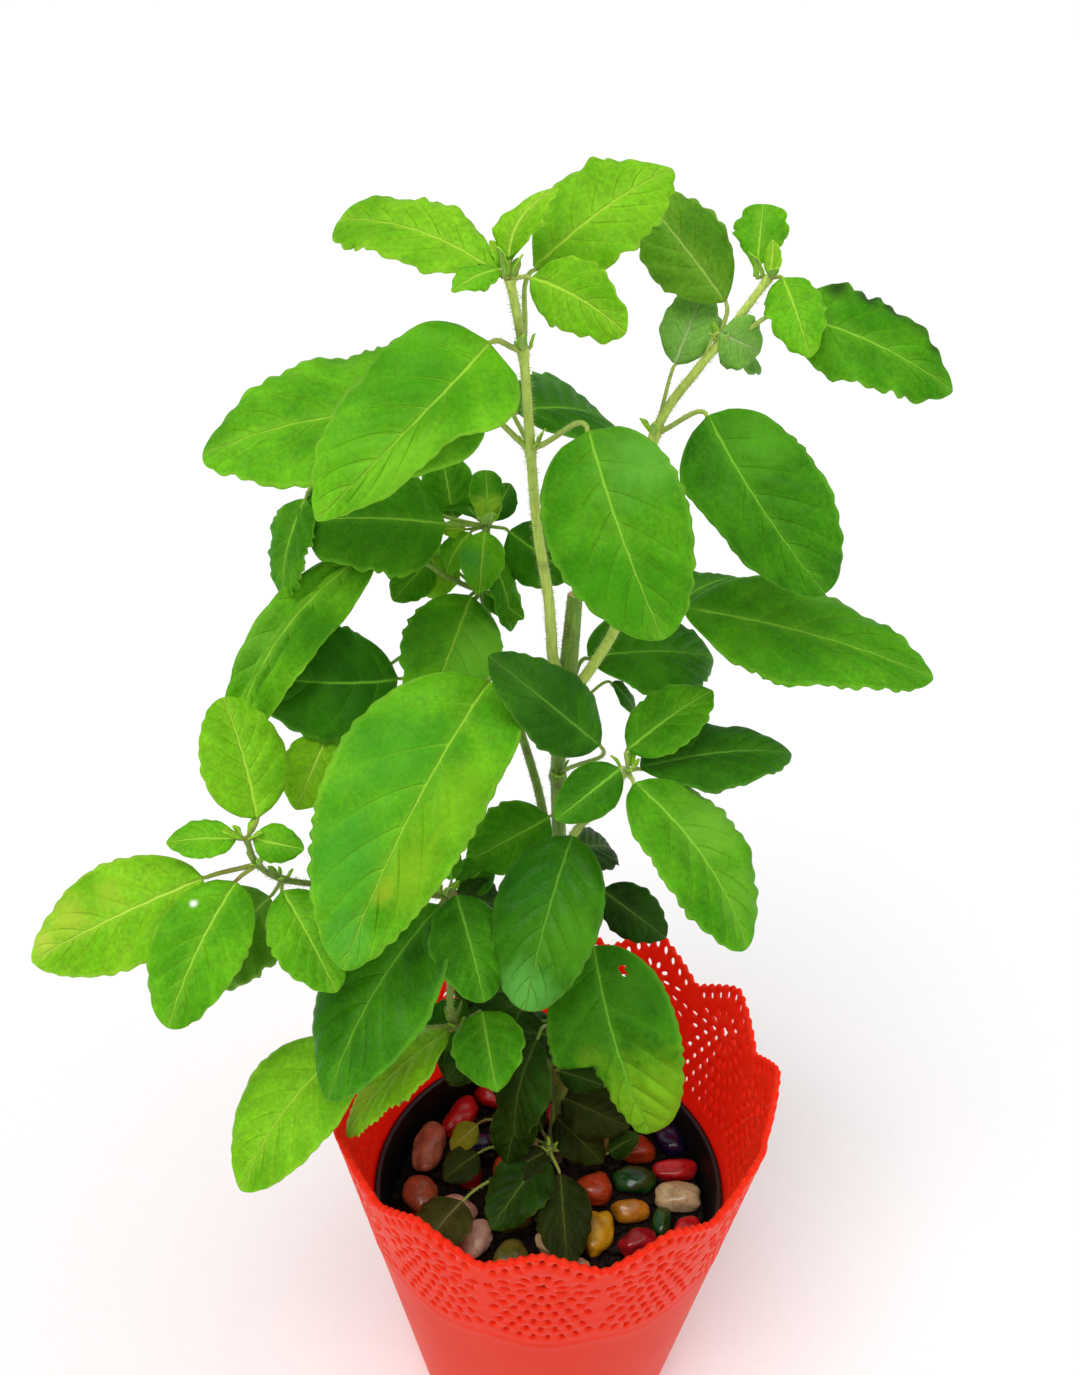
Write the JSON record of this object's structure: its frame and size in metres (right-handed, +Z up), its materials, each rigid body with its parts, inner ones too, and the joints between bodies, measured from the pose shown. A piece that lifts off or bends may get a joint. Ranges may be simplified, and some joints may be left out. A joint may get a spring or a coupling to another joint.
{
  "type": "potted holy basil",
  "caption": "Leafy holy basil with toothed oval leaves, growing through polished pebbles in a black nursery pot that stands in a tapered red planter with a pierced lace rim.",
  "frame": {"origin": "middle of the planter's flat underside", "axes": "+Z up along the planter's axis, -Y towards the viewer's side, +X to the viewer's right"},
  "size_m": [0.2331, 0.14, 0.4003],
  "materials": {
    "planter_red": "moulded, satin gloss",
    "pot_black": "blow-moulded, dull sheen",
    "soil": "damp crumbs of potting mix",
    "bark": "young bark, fine hairs",
    "green_stem": "soft green stem, fine hairs",
    "leaf": "leaf with sunken veins, soft sheen",
    "leaf_dark": "shaded older leaf, soft sheen",
    "pink_brown": "polished pebble",
    "red": "polished dyed pebble",
    "rust": "polished pebble",
    "dark_red": "polished dyed pebble",
    "white": "polished pebble",
    "olive": "polished pebble",
    "orange": "polished dyed pebble",
    "dark_green": "polished dyed pebble",
    "beige": "polished pebble",
    "yellow": "polished dyed pebble",
    "crimson": "polished dyed pebble",
    "navy": "polished dyed pebble"
  },
  "bodies": {
    "root": {"planter": "planter_red", "nursery_pot": "pot_black", "soil": "soil", "main_stem": "leaf", "shoot_centre": "leaf", "shoot_right": "leaf", "shoot_back": "leaf_dark", "shoot_front": "leaf", "shoot_left": "leaf", "sprig_left": "leaf", "sprig_foot": "leaf_dark", "pebble_01": "pink_brown", "pebble_02": "red", "pebble_03": "rust", "pebble_04": "dark_red", "pebble_05": "white", "pebble_06": "white", "pebble_07": "olive", "pebble_08": "white", "pebble_09": "orange", "pebble_10": "dark_green", "pebble_11": "red", "pebble_12": "beige", "pebble_13": "red", "pebble_14": "yellow", "pebble_15": "orange", "pebble_16": "crimson", "pebble_17": "dark_green", "pebble_18": "orange", "pebble_19": "navy", "pebble_20": "red", "pebble_21": "red", "pebble_22": "rust", "pebble_23": "olive", "pebble_24": "white", "pebble_25": "navy", "pebble_26": "orange", "pebble_27": "crimson", "pebble_28": "beige", "pebble_29": "olive", "pebble_30": "white", "pebble_31": "dark_green", "pebble_32": "orange", "pebble_33": "yellow", "pebble_34": "crimson", "pebble_35": "navy", "pebble_36": "beige", "pebble_37": "crimson", "pebble_38": "rust", "pebble_39": "dark_red", "pebble_40": "beige", "pebble_41": "olive", "pebble_42": "crimson", "pebble_43": "navy"}
  },
  "joints": []
}
